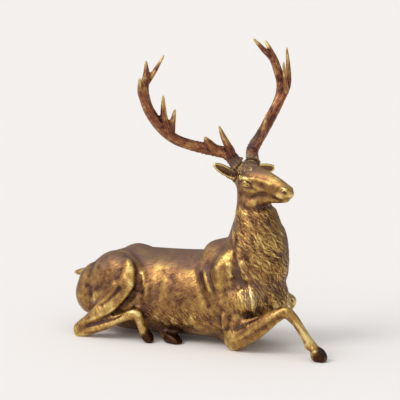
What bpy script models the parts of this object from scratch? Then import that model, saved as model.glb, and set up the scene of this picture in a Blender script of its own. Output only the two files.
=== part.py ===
# A recumbent stag, cast hollow in three pieces: the animal, and two antlers seated on its brow.
# Metres, +Z up. +X is the head end of the body and +Y the animal's left.
# The pose and the forms are given in thousandths of the statue's length, tail tip to fore hoof.
import bmesh
import bpy
from math import cos, pi, radians, sin
from mathutils import Euler, Matrix, Vector
from mathutils.bvhtree import BVHTree

STATUE_LENGTH = 1.008
SHARE = STATUE_LENGTH / 1008

# Antler seats
PEDICLE_RADIUS = 0.019
BURR_RADIUS = 0.026
BURR_THICKNESS = 0.013
SEAT_GAP = 0.0003

# Antlers
BEAM_RADIUS = 0.0172
TINE_RADIUS = 0.0112
TINE_TIP_RADIUS = 0.0046

# Head
HEAD_YAW = -17
EYE_RADIUS = 0.012
EAR_THICKNESS = 0.0105

# Coat
LOCK_WIDTH = 0.0125
LOCK_LENGTH = 0.08
LOCK_RELIEF = 0.0135
TUFT_LENGTH = 0.034

# Feet and underside
CLAW_GAP = 0.004
FLOOR_CUT = 0.06

# Surface
CLAY_GRAIN = 0.004
STAG_TRIANGLES = 7700
ANTLER_TRIANGLES = 900

AHEAD = Vector((1, 0, 0))
LEFT = Vector((0, 1, 0))
UP = Vector((0, 0, 1))


def place(x, y, z):
    """A place in the statue from thousandths of its length."""
    return Vector((x, y, z)) * SHARE


def smooth_rows(stations, steps):
    """Catmull-Rom rows through the stations."""
    ends = [stations[0], *stations, stations[-1]]
    rows = []
    for a, b, c, d in zip(ends, ends[1:], ends[2:], ends[3:]):
        for step in range(steps):
            t = step / steps
            rows.append([
                q + 0.5 * (r - p) * t + (p - 2.5 * q + 2 * r - 0.5 * s) * t * t
                + (1.5 * (q - r) + 0.5 * (s - p)) * t ** 3
                for p, q, r, s in zip(a, b, c, d)
            ])
    rows.append(list(stations[-1]))
    return rows


def close_tube(clay, rings, poles):
    """Faces between the rings, and a pole at each end."""
    for lower, upper in zip(rings, rings[1:]):
        for i in range(len(lower)):
            j = (i + 1) % len(lower)
            clay.faces.new((lower[i], lower[j], upper[j], upper[i]))
    for ring, pole in ((rings[0], poles[0]), (rings[-1], poles[1])):
        for i in range(len(ring)):
            clay.faces.new((ring[i], ring[(i + 1) % len(ring)], pole))


def sweep(clay, stations, side=LEFT, steps=4, sides=14, egg=0.0, unit=SHARE, end=0.5):
    """A closed limb through stations of (x, y, z, half width, half depth)."""
    rows = smooth_rows(stations, steps)
    centres = [Vector(row[:3]) for row in rows]
    rings = []
    for i, row in enumerate(rows):
        ahead = (centres[min(i + 1, len(rows) - 1)] - centres[max(i - 1, 0)]).normalized()
        side = (side - ahead * side.dot(ahead)).normalized()
        over = ahead.cross(side)
        ring = []
        for k in range(sides):
            turn = 2 * pi * k / sides
            across = side * (row[3] * (1 - egg * sin(turn)) * cos(turn))
            ring.append(clay.verts.new((centres[i] + across + over * (row[4] * sin(turn))) * unit))
        rings.append(ring)
    first = (centres[0] - centres[1]).normalized() * end * min(rows[0][3:5])
    last = (centres[-1] - centres[-2]).normalized() * end * min(rows[-1][3:5])
    poles = clay.verts.new((centres[0] + first) * unit), clay.verts.new((centres[-1] + last) * unit)
    close_tube(clay, rings, poles)


def muscle(clay, centre, radii, lean=(0, 0, 0)):
    """An egg of clay: centre, three half sizes, and its lean about X, Y and Z in degrees."""
    turn = Euler([radians(angle) for angle in lean]).to_matrix().to_4x4()
    matrix = Matrix.Translation(place(*centre)) @ turn @ Matrix.Diagonal((*[r * SHARE for r in radii], 1))
    bmesh.ops.create_uvsphere(clay, u_segments=22, v_segments=14, radius=1, matrix=matrix)


def both(clay, centre, radii, lean=(0, 0, 0)):
    """The same muscle on both sides of the body."""
    muscle(clay, centre, radii, lean)
    x, y, z = centre
    muscle(clay, (x, -y, z), radii, (-lean[0], lean[1], -lean[2]))


def finished(name, clay, modifiers):
    """An object of the clay with its modifiers applied in order."""
    mesh = bpy.data.meshes.new(name)
    clay.to_mesh(mesh)
    clay.free()
    piece = bpy.data.objects.new(name, mesh)
    bpy.context.collection.objects.link(piece)
    for kind, settings in modifiers:
        step = piece.modifiers.new(kind.title(), kind)
        for key, value in settings.items():
            setattr(step, key, value)
    graph = bpy.context.evaluated_depsgraph_get()
    baked = bpy.data.meshes.new_from_object(piece.evaluated_get(graph))
    piece.modifiers.clear()
    piece.data = baked
    bpy.data.meshes.remove(mesh)
    baked.name = name
    return piece


def shell(grain):
    """Melts overlapping clay into one skin."""
    return "REMESH", {"mode": "VOXEL", "voxel_size": grain, "adaptivity": 0}


def trunk(clay):
    sweep(clay, [
        (-440, 0, 132, 44, 44),
        (-415, 0, 134, 76, 80),
        (-380, 0, 135, 102, 106),
        (-340, 0, 140, 117, 122),
        (-290, 0, 145, 124, 136),
        (-229, 0, 151, 121, 143),
        (-114, 0, 154, 122, 143),
        (0, 0, 158, 118, 145),
        (58, 0, 161, 112, 149),
        (92, 0, 172, 106, 166),
        (122, 0, 183, 102, 172),
        (156, 0, 178, 102, 174),
        (210, 0, 192, 88, 136),
        (244, 0, 220, 62, 82),
        (264, 0, 234, 36, 44),
    ], egg=0.16, sides=28)
    sweep(clay, [
        (-400, 0, 194, 22, 18), (-445, 0, 188, 19, 15), (-476, 0, 182, 13, 11), (-497, 0, 179, 5, 5),
    ])


def hindquarters(clay):
    both(clay, (-272, -76, 178), (112, 66, 112), (0, -22, 0))
    both(clay, (-345, -60, 176), (88, 60, 74), (0, -26, 0))
    both(clay, (-205, -92, 205), (40, 46, 72), (0, -10, 0))
    both(clay, (-368, -64, 134), (70, 60, 78), (0, 8, 0))
    both(clay, (-148, -104, 176), (12, 22, 62), (0, -14, 0))
    both(clay, (-300, -118, 150), (26, 26, 62), (0, 52, 0))
    shank = [
        (-196, 124, 205, 22, 40), (-238, 133, 155, 23, 36), (-290, 141, 96, 22, 32),
        (-341, 147, 54, 21, 25), (-382, 150, 24, 19, 22),
    ]
    for hand in (-1, 1):
        sweep(clay, [(x, hand * y, z, across, deep) for x, y, z, across, deep in shank])
        tendon = [(-352, 142, 66, 9, 9), (-382, 149, 42, 9, 8), (-396, 150, 24, 13, 12)]
        sweep(clay, [(x, hand * y, z, across, deep) for x, y, z, across, deep in tendon])


def near_hind_leg(clay):
    sweep(clay, [
        (-390, -152, 14, 21, 22), (-340, -151, 25, 17, 21), (-271, -148, 51, 14, 20),
        (-213, -142, 78, 14, 17), (-168, -138, 95, 18, 20), (-154, -136, 76, 15, 17),
        (-145, -134, 48, 15, 17), (-138, -132, 30, 17, 19),
    ])
    hoof(clay, (-140, -131, 32), (-108, -130, -2), 20, 18)


def far_hind_leg(clay):
    sweep(clay, [
        (-390, 150, 14, 21, 22), (-330, 124, 22, 16, 18), (-250, 70, 24, 14, 16),
        (-175, 8, 26, 14, 16), (-128, -40, 28, 17, 18), (-100, -70, 24, 15, 16), (-80, -86, 18, 18, 18),
    ])
    hoof(clay, (-80, -85, 20), (-12, -110, 3), 23, 19)


def shoulders(clay):
    both(clay, (128, -74, 222), (52, 46, 112), (0, 14, 0))
    both(clay, (150, -84, 150), (66, 40, 66), (0, 0, 0))
    both(clay, (205, -84, 165), (42, 38, 50), (0, 20, 0))
    muscle(clay, (176, -84, 96), (48, 40, 70), (0, -22, 0))
    muscle(clay, (160, 80, 100), (44, 40, 66), (0, -10, 0))
    muscle(clay, (178, -92, 40), (42, 34, 44))
    muscle(clay, (138, 88, 44), (38, 34, 44))
    both(clay, (90, -82, 200), (22, 34, 62), (0, -18, 0))
    muscle(clay, (132, 0, 84), (98, 72, 90))


def near_foreleg(clay):
    sweep(clay, [
        (178, -102, 40, 30, 42), (239, -106, 73, 27, 41), (282, -106, 99, 23, 34),
        (326, -103, 130, 19, 25), (356, -101, 148, 18, 21), (374, -100, 143, 19, 21),
        (402, -100, 115, 15, 18), (427, -100, 82, 14, 17), (447, -100, 55, 17, 18),
        (463, -100, 39, 16, 17), (474, -101, 28, 17, 17),
    ])
    sweep(clay, [
        (200, -126, 50, 8, 12), (250, -128, 84, 9, 14), (300, -122, 118, 8, 11), (345, -114, 146, 6, 7),
    ])
    muscle(clay, (438, -100, 36), (10, 14, 8), (0, 40, 0))
    hoof(clay, (466, -104, 28), (511, -108, 5), 24, 22)


def far_foreleg(clay):
    sweep(clay, [
        (190, 74, 160, 34, 34), (240, 84, 154, 26, 27), (276, 90, 146, 21, 22),
        (296, 90, 137, 20, 21),
    ], end=0.9)
    sweep(clay, [
        (289, 90, 128, 19, 20), (254, 90, 104, 15, 16), (212, 88, 76, 14, 15),
        (180, 86, 50, 17, 17), (162, 84, 32, 15, 15), (150, 84, 24, 16, 16),
    ])
    muscle(clay, (172, 88, 30), (10, 14, 9), (0, -40, 0))
    hoof(clay, (152, 84, 24), (110, 82, 6), 20, 17)


def hoof(clay, heel, toe, width, depth):
    """Two pointed claws side by side from the heel to the toe."""
    start, tip = Vector(heel), Vector(toe)
    along = (tip - start).normalized()
    aside = along.cross(UP).normalized()
    claw = width * 0.52
    for hand in (-1, 1):
        shift = aside * hand * (claw + CLAW_GAP / SHARE / 2)
        rows = []
        for step, grow in ((0.0, 0.92), (0.35, 1.08), (0.7, 0.86), (1.0, 0.36)):
            spot = start.lerp(tip, step) + shift * (1 - 0.35 * step)
            rows.append((*spot, claw * grow, depth * grow))
        sweep(clay, rows, side=aside)


NECK = [
    (150, 0, 200, 108, 78),
    (182, 0, 270, 106, 90),
    (202, 0, 330, 98, 84),
    (205, -1, 385, 84, 72),
    (204, -3, 435, 68, 59),
    (196, -6, 485, 53, 48),
    (188, -8, 530, 44, 40),
    (184, -9, 560, 38, 35),
]


def neck(clay):
    sweep(clay, NECK, side=AHEAD, steps=5, sides=26)
    muscle(clay, (212, 0, 275), (90, 74, 88))
    both(clay, (160, -58, 282), (52, 46, 62))
    muscle(clay, (204, 0, 200), (56, 60, 74), (0, 22, 0))


SKULL = place(190, -10, 0)


def skull_place(along, aside, height):
    """A place on the head: along its muzzle, to its left, and the height, in thousandths."""
    turn = Matrix.Rotation(radians(HEAD_YAW), 3, "Z")
    return (SKULL + turn @ place(along, aside, height)) / SHARE


def skull_sweep(clay, stations, **settings):
    turn = Matrix.Rotation(radians(HEAD_YAW), 3, "Z")
    sweep(clay, [(*skull_place(*row[:3]), *row[3:]) for row in stations], side=turn @ LEFT, **settings)


def skull_muscle(clay, centre, radii, lean=(0, 0, 0)):
    muscle(clay, skull_place(*centre), radii, (lean[0], lean[1], lean[2] + HEAD_YAW))


def skull_pair(clay, centre, radii, lean=(0, 0, 0)):
    along, aside, height = centre
    skull_muscle(clay, centre, radii, lean)
    skull_muscle(clay, (along, -aside, height), radii, (-lean[0], lean[1], -lean[2]))


def head(clay):
    skull_sweep(clay, [
        (-54, 0, 548, 26, 32), (-30, 0, 552, 36, 46), (0, 0, 552, 41, 51), (30, 0, 548, 40, 51),
        (62, 0, 545, 34, 46), (100, 0, 541, 27, 38), (135, 0, 532, 24, 32), (160, 0, 527, 23, 26),
        (174, 0, 525, 19, 20), (181, 0, 525, 11, 12),
    ], egg=0.06, sides=20)
    skull_sweep(clay, [
        (-18, 0, 504, 28, 38), (8, 0, 496, 31, 39), (34, 0, 494, 31, 38), (60, 0, 497, 27, 27),
        (90, 0, 499, 21, 17), (125, 0, 499, 17, 13), (150, 0, 500, 15, 11), (163, 0, 502, 10, 8),
    ], sides=18)
    skull_pair(clay, (14, -26, 505), (44, 15, 40), (0, 6, 4))
    skull_muscle(clay, (-18, 0, 590), (34, 34, 18))


def face(clay):
    """Brows, eyes, cheeks, nostrils and lips."""
    eye = EYE_RADIUS / SHARE
    skull_pair(clay, (8, -39, 562), (29, 10, 6), (0, 10, -6))
    skull_pair(clay, (17, -41, 547), (eye, eye * 0.8, eye * 0.8))
    skull_pair(clay, (24, -39, 537), (17, 6, 4), (0, 22, 8))
    skull_pair(clay, (62, -31, 534), (36, 7, 6), (0, 14, 9))
    skull_pair(clay, (24, -30, 482), (32, 11, 22), (0, -10, 3))
    skull_pair(clay, (146, -17, 517), (26, 9, 13), (0, 8, 5))
    skull_pair(clay, (167, -13, 535), (12, 9, 7), (0, 24, 10))
    skull_muscle(clay, (177, 0, 519), (8, 14, 10))


def ears(clay):
    ear(clay, (-36, -26, 558), (-65, -101, 604), 24, Vector((0.75, -0.55, -0.1)))
    ear(clay, (-34, 24, 566), (4, 113, 579), 21, Vector((0.55, -0.8, 0.0)))


def ear(clay, root, tip, half_width, mouth):
    """A cupped leaf from root to tip, its hollow turned to the mouth."""
    start, end = Vector(skull_place(*root)), Vector(skull_place(*tip))
    along = (end - start).normalized()
    mouth = (mouth - along * mouth.dot(along)).normalized()
    across = along.cross(mouth)
    length = (end - start).length
    thick = EAR_THICKNESS / SHARE
    rows, columns = 10, 9
    sheets = []
    for layer in (0, 1):
        sheet = []
        for i in range(rows):
            s = i / (rows - 1)
            wide = half_width * (0.4 + 0.6 * sin(pi * (0.12 + 0.76 * s)) - 0.28 * s ** 6)
            line = []
            for k in range(columns):
                t = 2 * k / (columns - 1) - 1
                cup = wide * 0.42 * (1 - t * t) * (1 - 0.35 * s)
                spot = start + along * (length * s) + across * (wide * t) - mouth * (cup + thick * layer)
                line.append(clay.verts.new(spot * SHARE))
            sheet.append(line)
        sheets.append(sheet)
    front, back = sheets
    for i in range(rows - 1):
        for k in range(columns - 1):
            clay.faces.new((front[i][k], front[i][k + 1], front[i + 1][k + 1], front[i + 1][k]))
            clay.faces.new((back[i][k], back[i + 1][k], back[i + 1][k + 1], back[i][k + 1]))
    front_rim = rim(front)
    back_rim = rim(back)
    for i in range(len(front_rim)):
        j = (i + 1) % len(front_rim)
        clay.faces.new((front_rim[i], front_rim[j], back_rim[j], back_rim[i]))


def rim(sheet):
    """The outer loop of a grid of points."""
    right = [line[-1] for line in sheet[1:-1]]
    left = [line[0] for line in sheet[1:-1]]
    return sheet[0] + right + sheet[-1][::-1] + left[::-1]


BURRS = {"right_antler": (-28, -29, 598), "left_antler": (-19, 29, 600)}
AIMS = {"right_antler": (-0.52, -0.52, 0.68), "left_antler": (-0.42, 0.62, 0.66)}


def seat(name):
    """Centre of an antler's seat and the direction that the antler leaves it."""
    turn = Matrix.Rotation(radians(HEAD_YAW), 3, "Z")
    return skull_place(*BURRS[name]) * SHARE, (turn @ Vector(AIMS[name])).normalized()


def pedicles(clay):
    for name in BURRS:
        spot, aim = seat(name)
        radius = PEDICLE_RADIUS
        rows = [(*(spot + aim * step), radius * grow, radius * grow) for step, grow in (
            (-0.034, 1.15), (-0.016, 1.06), (0.0, 1.0), (0.012, 1.0))]
        sweep(clay, rows, unit=1)


def mane_axis(height):
    """The middle of the neck at a height, in thousandths."""
    rise = min(1, max(0, (height - 120) / 380))
    return Vector((200 + 12 * sin(pi * rise), -8 * rise ** 3, height))


def skin_place(skin, height, turn, lift):
    """The place on the coat seen from outside at a height and a turn about the neck, and its outward way."""
    way = Vector((cos(turn), sin(turn), 0))
    axis = mane_axis(height) * SHARE
    reach = STATUE_LENGTH * 0.4
    spot, normal, _, _ = skin.ray_cast(axis + way * reach, -way, reach)
    # What lies farther out than the neck at its widest and one lock is a leg.
    neck_reach = max(row[3] for row in NECK) * SHARE + LOCK_WIDTH + LOCK_RELIEF
    if spot is None or (spot - axis).length > neck_reach:
        return None, None
    return spot + normal * lift, normal


def lock(clay, spots, normals, width, relief):
    """A pointed lock of hair that follows the given places."""
    rows = []
    shape = ((0.0, 0.55), (0.3, 1.0), (0.65, 0.85), (1.0, 0.2))
    for spot, (_, grow) in zip(spots, shape):
        rows.append((*spot, width * grow, relief * grow))
    sweep(clay, rows, side=(spots[1] - spots[0]).cross(normals[0]), steps=3, sides=8, unit=1)


def mane(clay, skin):
    """Staggered tiers of locks down the neck and the breast, swept forwards."""
    tiers = 10
    top, bottom = 462, 184
    for tier in range(tiers):
        share = tier / (tiers - 1)
        height = top + (bottom - top) * share
        spread = radians(150 - 78 * share)
        count = round(17 - 7 * share)
        for k in range(count):
            turn = spread * (2 * (k + 0.5 * (tier % 2)) / count - 1) + 0.06 * sin(5.1 * k + 2.3 * tier)
            length = LOCK_LENGTH * (0.55 + 0.5 * share + 0.14 * sin(2.7 * k + tier))
            drift = 0.36 * min(1, max(-1, turn))
            relief = LOCK_RELIEF * min(1, 0.6 + 1.6 * share)
            spots, normals = [], []
            for step in range(4):
                s = step / 3
                way = turn - drift * s + 0.06 * sin(pi * 1.5 * s + k)
                spot, normal = skin_place(skin, height - length / SHARE * s, way, relief * (0.1 + 0.6 * s))
                if spot is None:
                    break
                spots.append(spot)
                normals.append(normal)
            if len(spots) == 4:
                lock(clay, spots, normals, LOCK_WIDTH * (0.62 + 0.38 * share), relief)


def belly_tufts(clay, skin):
    """Short tufts along the lower edge of both flanks."""
    for hand in (-1, 1):
        for k in range(15):
            x = -122 + 18.5 * k + 7 * sin(4.7 * k)
            spots, normals = [], []
            for step in range(4):
                s = step / 3
                low = 88 + 11 * sin(2.1 * k) - TUFT_LENGTH / SHARE * (1 + 0.3 * sin(3.1 * k)) * s
                start = place(x + 22 * s, hand * 250, low)
                spot, normal, _, _ = skin.ray_cast(start, -LEFT * hand, 0.3)
                if spot is None:
                    break
                spots.append(spot)
                normals.append(normal)
            if len(spots) == 4:
                lock(clay, spots, normals, LOCK_WIDTH * 0.7, LOCK_RELIEF * 0.45)


def bare_stag():
    clay = bmesh.new()
    for form in (trunk, hindquarters, shoulders, neck, head):
        form(clay)
    for leg in (near_hind_leg, far_hind_leg, near_foreleg, far_foreleg):
        leg(clay)
    return finished("bare_stag", clay, [
        shell(CLAY_GRAIN * 1.15),
        ("SMOOTH", {"factor": 0.5, "iterations": 10}),
    ])


def stag():
    bare = bare_stag()
    clay = bmesh.new()
    clay.from_mesh(bare.data)
    skin = BVHTree.FromBMesh(clay)
    mane(clay, skin)
    belly_tufts(clay, skin)
    face(clay)
    ears(clay)
    pedicles(clay)
    bpy.data.objects.remove(bare)
    piece = finished("stag", clay, [
        shell(CLAY_GRAIN),
        ("SMOOTH", {"factor": 0.5, "iterations": 1}),
    ])
    return reduced(piece, STAG_TRIANGLES)


def reduced(piece, triangles):
    """The piece thinned to a number of triangles, fewest where the form is plain."""
    piece.data.calc_loop_triangles()
    thin = piece.modifiers.new("Thin", "DECIMATE")
    thin.ratio = triangles / len(piece.data.loop_triangles)
    thin.use_collapse_triangulate = True
    return piece


BEAMS = {
    "right_antler": [
        (129, -44, 633, 1.22), (104, -58, 643, 1.15), (77, -78, 650, 1.12), (49, -96, 658, 1.1),
        (22, -114, 666, 1.06), (-5, -136, 679, 1.04), (-24, -158, 696, 1.02), (-42, -181, 720, 1.0),
        (-52, -202, 746, 1.04), (-62, -220, 774, 1.06), (-70, -231, 803, 1.04), (-75, -237, 836, 1.0),
        (-78, -234, 864, 0.92), (-79, -222, 882, 0.75),
    ],
    "left_antler": [
        (148, 87, 629, 1.24), (123, 162, 644, 1.18), (112, 229, 668, 1.14), (109, 282, 700, 1.12),
        (113, 317, 733, 1.12), (120, 341, 766, 1.1), (124, 355, 799, 1.05), (121, 360, 833, 1.0),
        (111, 358, 867, 0.92), (99, 351, 908, 0.86), (88, 346, 932, 0.72),
    ],
}


def antler(name):
    """One antler: its beam, its tines and the burr on a flat seat."""
    spot, aim = seat(name)
    clay = bmesh.new()
    foot = spot / SHARE
    swell = BEAM_RADIUS / SHARE
    start = [
        (*(foot + aim / SHARE * step), swell * grow, swell * grow)
        for step, grow in ((-0.012, 1.2), (0.006, 1.22))
    ]
    beam = [(x, y, z, swell * grow, swell * grow) for x, y, z, grow in BEAMS[name]]
    sweep(clay, start + beam, side=UP.cross(aim), sides=12, end=0.8)
    for tine in TINES[name]:
        rows = [(x, y, z, r * TINE_RADIUS / SHARE, r * TINE_RADIUS / SHARE) for x, y, z, r in tine[:-1]]
        tip = TINE_TIP_RADIUS / SHARE
        rows.append((*tine[-1], tip, tip))
        sweep(clay, rows, side=AHEAD, sides=10, end=0.8)
    burr(clay, spot, aim)
    piece = finished(name, clay, [
        shell(CLAY_GRAIN * 0.8),
        ("SMOOTH", {"factor": 0.5, "iterations": 2}),
    ])
    return reduced(piece, ANTLER_TRIANGLES)


TINES = {
    "right_antler": [
        [(142, -46, 640, 1.3), (136, -72, 672, 1.15), (131, -96, 706, 0.8), (127, -110, 734)],
        [(92, -72, 650, 1.5), (82, -92, 672, 1.3), (74, -112, 696)],
        [(-26, -170, 712, 1.25), (-30, -186, 752, 1.1), (-28, -196, 792, 0.85), (-26, -201, 833)],
        [(-18, -160, 712, 1.2), (-10, -168, 744, 0.95), (4, -176, 788)],
        [(-79, -226, 870, 1.15), (-86, -203, 905, 0.85), (-98, -184, 938)],
        [(-78, -224, 866, 1.0), (-66, -190, 902, 0.75), (-49, -152, 956)],
        [(-70, -238, 800, 1.0), (-82, -250, 842, 0.9), (-81, -256, 892)],
    ],
    "left_antler": [
        [(150, 80, 628, 1.2), (178, 84, 660, 0.9), (189, 88, 700, 0.75), (192, 106, 760)],
        [(92, 349, 916, 1.05), (67, 322, 950, 0.85), (44, 298, 984)],
        [(94, 349, 920, 1.0), (80, 352, 948, 0.8), (62, 354, 974)],
        [
            (117, 318, 734, 1.15), (134, 336, 775, 1.1), (150, 354, 824, 1.0),
            (147, 362, 880, 0.85), (139, 364, 954),
        ],
        [(152, 340, 800, 0.9), (150, 330, 850, 0.75), (148, 322, 908)],
    ],
}


def burr(clay, spot, aim):
    """The rough crown round the foot of an antler, a ring of beads."""
    beads = 11
    side = UP.cross(aim).normalized()
    over = aim.cross(side)
    rows = [
        (*(spot + aim * BURR_THICKNESS * step), BURR_RADIUS * grow, BURR_RADIUS * grow)
        for step, grow in ((-0.5, 0.86), (0.5, 0.92), (1, 0.7))
    ]
    sweep(clay, rows, unit=1)
    for k in range(beads):
        turn = 2 * pi * k / beads
        out = (side * cos(turn) + over * sin(turn)) * BURR_RADIUS * 0.84
        bead = Matrix.Translation(spot + aim * BURR_THICKNESS * 0.5 + out)
        size = BURR_RADIUS * (0.22 + 0.05 * sin(3.3 * k))
        bmesh.ops.create_uvsphere(clay, u_segments=10, v_segments=8, radius=size, matrix=bead)


def cutter(name, piece, matrix, radius, depth):
    """A drum that cuts the piece flat: it starts at the matrix's place and runs along its Z."""
    mesh = bpy.data.meshes.new(name)
    clay = bmesh.new()
    lift = Matrix.Translation((0, 0, depth / 2))
    bmesh.ops.create_cone(
        clay, cap_ends=True, segments=32, radius1=radius, radius2=radius, depth=depth, matrix=matrix @ lift)
    clay.to_mesh(mesh)
    clay.free()
    tool = bpy.data.objects.new(name, mesh)
    bpy.context.collection.objects.link(tool)
    tool.hide_render = True
    tool.display_type = "WIRE"
    cut = piece.modifiers.new(name, "BOOLEAN")
    cut.operation = "DIFFERENCE"
    cut.object = tool


def metal(name, colour, roughness):
    material = bpy.data.materials.new(name)
    material.use_nodes = True
    shader = material.node_tree.nodes["Principled BSDF"]
    shader.inputs["Base Color"].default_value = (*colour, 1)
    shader.inputs["Metallic"].default_value = 1.0
    shader.inputs["Roughness"].default_value = roughness
    return material


def centred(pieces):
    """Puts the middle of the whole statue's box over the origin."""
    bpy.context.view_layer.update()
    graph = bpy.context.evaluated_depsgraph_get()
    spots = [spot.co.copy() for piece in pieces for spot in piece.evaluated_get(graph).data.vertices]
    middle = [(min(spot[axis] for spot in spots) + max(spot[axis] for spot in spots)) / 2 for axis in (0, 1)]
    for thing in bpy.data.objects:
        thing.data.transform(Matrix.Translation((-middle[0], -middle[1], 0)))


def build():
    for thing in list(bpy.data.objects):
        bpy.data.objects.remove(thing)
    body = stag()
    antlers = [antler(name) for name in BEAMS]
    cutter("floor", body, Matrix.Translation((0, 0, -FLOOR_CUT)), STATUE_LENGTH, FLOOR_CUT)
    for piece in antlers:
        spot, aim = seat(piece.name)
        facing = aim.to_track_quat("Z", "Y").to_matrix().to_4x4()
        reach = BURR_RADIUS * 1.16
        cutter("seat_" + piece.name, body, Matrix.Translation(spot) @ facing, reach, reach)
        away = Matrix.Translation(spot + aim * SEAT_GAP) @ facing @ Matrix.Rotation(pi, 4, "X")
        cutter("foot_" + piece.name, piece, away, reach * 1.3, reach)
    gilt = metal("gilt_bronze", (0.42, 0.24, 0.06), 0.38)
    umber = metal("umber_bronze", (0.16, 0.06, 0.025), 0.46)
    for piece, material in zip([body, *antlers], (gilt, umber, umber)):
        piece.data.materials.append(material)
        piece.data.shade_smooth()
    centred([body, *antlers])


build()
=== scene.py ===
import random
from math import cos, pi, radians, sin

import bpy
import numpy as np
from mathutils import Matrix, Vector
from mathutils.bvhtree import BVHTree
from mathutils.kdtree import KDTree


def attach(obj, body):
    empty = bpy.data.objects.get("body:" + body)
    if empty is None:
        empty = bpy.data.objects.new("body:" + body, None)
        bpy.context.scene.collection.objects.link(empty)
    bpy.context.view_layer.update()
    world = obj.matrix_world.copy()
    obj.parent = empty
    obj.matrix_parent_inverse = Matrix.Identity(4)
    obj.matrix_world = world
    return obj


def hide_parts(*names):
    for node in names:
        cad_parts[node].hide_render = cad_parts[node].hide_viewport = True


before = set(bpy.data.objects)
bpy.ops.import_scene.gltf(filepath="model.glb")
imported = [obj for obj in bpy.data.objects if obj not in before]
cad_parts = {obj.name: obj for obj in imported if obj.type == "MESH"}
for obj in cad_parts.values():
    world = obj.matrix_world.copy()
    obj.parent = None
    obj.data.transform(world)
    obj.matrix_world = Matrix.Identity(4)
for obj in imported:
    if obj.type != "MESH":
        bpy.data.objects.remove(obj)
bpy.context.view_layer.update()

print("frame loaded")

# The stag is laid out in its own millimetres: the middle plane of its trunk is y 0, the floor z 0.
layout = {"aheadMm": 8.8, "asideMm": 58.4, "skull": (190, -10), "headTurn": -17}
shiftMm = np.array([layout["aheadMm"], layout["asideMm"], 0])
headAway = np.array([cos(radians(layout["headTurn"])), sin(radians(layout["headTurn"])), 0])
headLeft = np.array([-headAway[1], headAway[0], 0])


def spot(x, y, z):
    return Vector((np.array([x, y, z]) - shiftMm) / 1000)


def headPoint(along, aside, height):
    return np.array([*layout["skull"], 0]) + headAway * along + headLeft * aside + np.array([0, 0, height])


def headSpot(along, aside, height):
    return spot(*headPoint(along, aside, height))


def pickOnly(piece):
    bpy.ops.object.select_all(action="DESELECT")
    piece.select_set(True)
    bpy.context.view_layer.objects.active = piece


def applyStep(piece, kind, **settings):
    pickOnly(piece)
    step = piece.modifiers.new(kind.title(), kind)
    for name, value in settings.items():
        setattr(step, name, value)
    bpy.ops.object.modifier_apply(modifier=step.name)


def placeApplied(piece):
    pickOnly(piece)
    bpy.ops.object.transform_apply(location=True, rotation=True, scale=True)


def copyOfNode(node, name):
    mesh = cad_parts[node].data.copy()
    mesh.name = name
    mesh.materials.clear()
    piece = bpy.data.objects.new(name, mesh)
    bpy.context.scene.collection.objects.link(piece)
    pickOnly(piece)
    bpy.ops.object.mode_set(mode="EDIT")
    bpy.ops.mesh.select_all(action="SELECT")
    bpy.ops.mesh.remove_doubles(threshold=0.00002)
    bpy.ops.object.mode_set(mode="OBJECT")
    return piece


def joinInto(piece, others):
    pickOnly(piece)
    for other in others:
        other.select_set(True)
    bpy.ops.object.join()
    return piece


# Clay work on a dense mesh: its points in the stag's millimetres, its edges and its normals.
def readClay(piece):
    mesh = piece.data
    points = np.empty(len(mesh.vertices) * 3, np.float32)
    mesh.vertices.foreach_get("co", points)
    edges = np.empty(len(mesh.edges) * 2, np.int32)
    mesh.edges.foreach_get("vertices", edges)
    return points.reshape(-1, 3).astype(float) * 1000 + shiftMm, edges.reshape(-1, 2)


def readNormals(piece):
    normals = np.empty(len(piece.data.vertices) * 3, np.float32)
    piece.data.vertex_normals.foreach_get("vector", normals)
    return normals.reshape(-1, 3).astype(float)


def writeClay(piece, points):
    piece.data.vertices.foreach_set("co", ((points - shiftMm) / 1000).astype(np.float32).ravel())
    piece.data.update()


def meanOfNeighbours(values, edges):
    count = np.bincount(edges.ravel(), minlength=len(values))
    total = np.empty_like(values)
    for k in range(values.shape[1]):
        column = values[:, k]
        total[:, k] = np.bincount(edges[:, 0], column[edges[:, 1]], len(values))
        total[:, k] += np.bincount(edges[:, 1], column[edges[:, 0]], len(values))
    return total / np.maximum(count, 1)[:, None]


def smoothed(points, edges, amount, rounds):
    for step in range(rounds):
        points = points + amount * 0.55 * (meanOfNeighbours(points, edges) - points)
        points = points - amount * 0.5 * (meanOfNeighbours(points, edges) - points)  # keeps the bulk
    return points


def melted(points, edges, amount, rounds):
    # a broad blur of the clay, pushed back out as far as it sank on the whole
    start = points
    for step in range(rounds):
        points = points + amount * 0.6 * (meanOfNeighbours(points, edges) - points)
    sunk = start - points
    for step in range(rounds):
        sunk = sunk + 0.6 * (meanOfNeighbours(sunk, edges) - sunk)
    return points + amount * sunk


def ramp(value, low, high):
    share = np.clip((value - low) / (high - low), 0, 1)
    return share * share * (3 - 2 * share)


def skinOf(points, piece):
    faces = [tuple(face.vertices) for face in piece.data.polygons]
    return BVHTree.FromPolygons([tuple(p) for p in points], faces)


def nearLine(points, line):
    # distance to a line of points, share of the way along it, and the side that a point lies on
    steps = np.linalg.norm(np.diff(line, axis=0), axis=1)
    reached = np.concatenate([[0], np.cumsum(steps)])
    best = np.full(len(points), 1e9)
    share = np.zeros(len(points))
    toward = np.zeros((len(points), 3))
    ahead = np.zeros((len(points), 3))
    for a, b, length, start in zip(line, line[1:], steps, reached):
        way = (b - a) / max(length, 1e-6)
        t = np.clip((points - a) @ way, 0, length)
        off = points - a - t[:, None] * way
        gap = np.linalg.norm(off, axis=1)
        closer = gap < best
        best[closer] = gap[closer]
        share[closer] = (start + t[closer]) / reached[-1]
        toward[closer] = off[closer]
        ahead[closer] = way
    return best, share, toward, ahead


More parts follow.
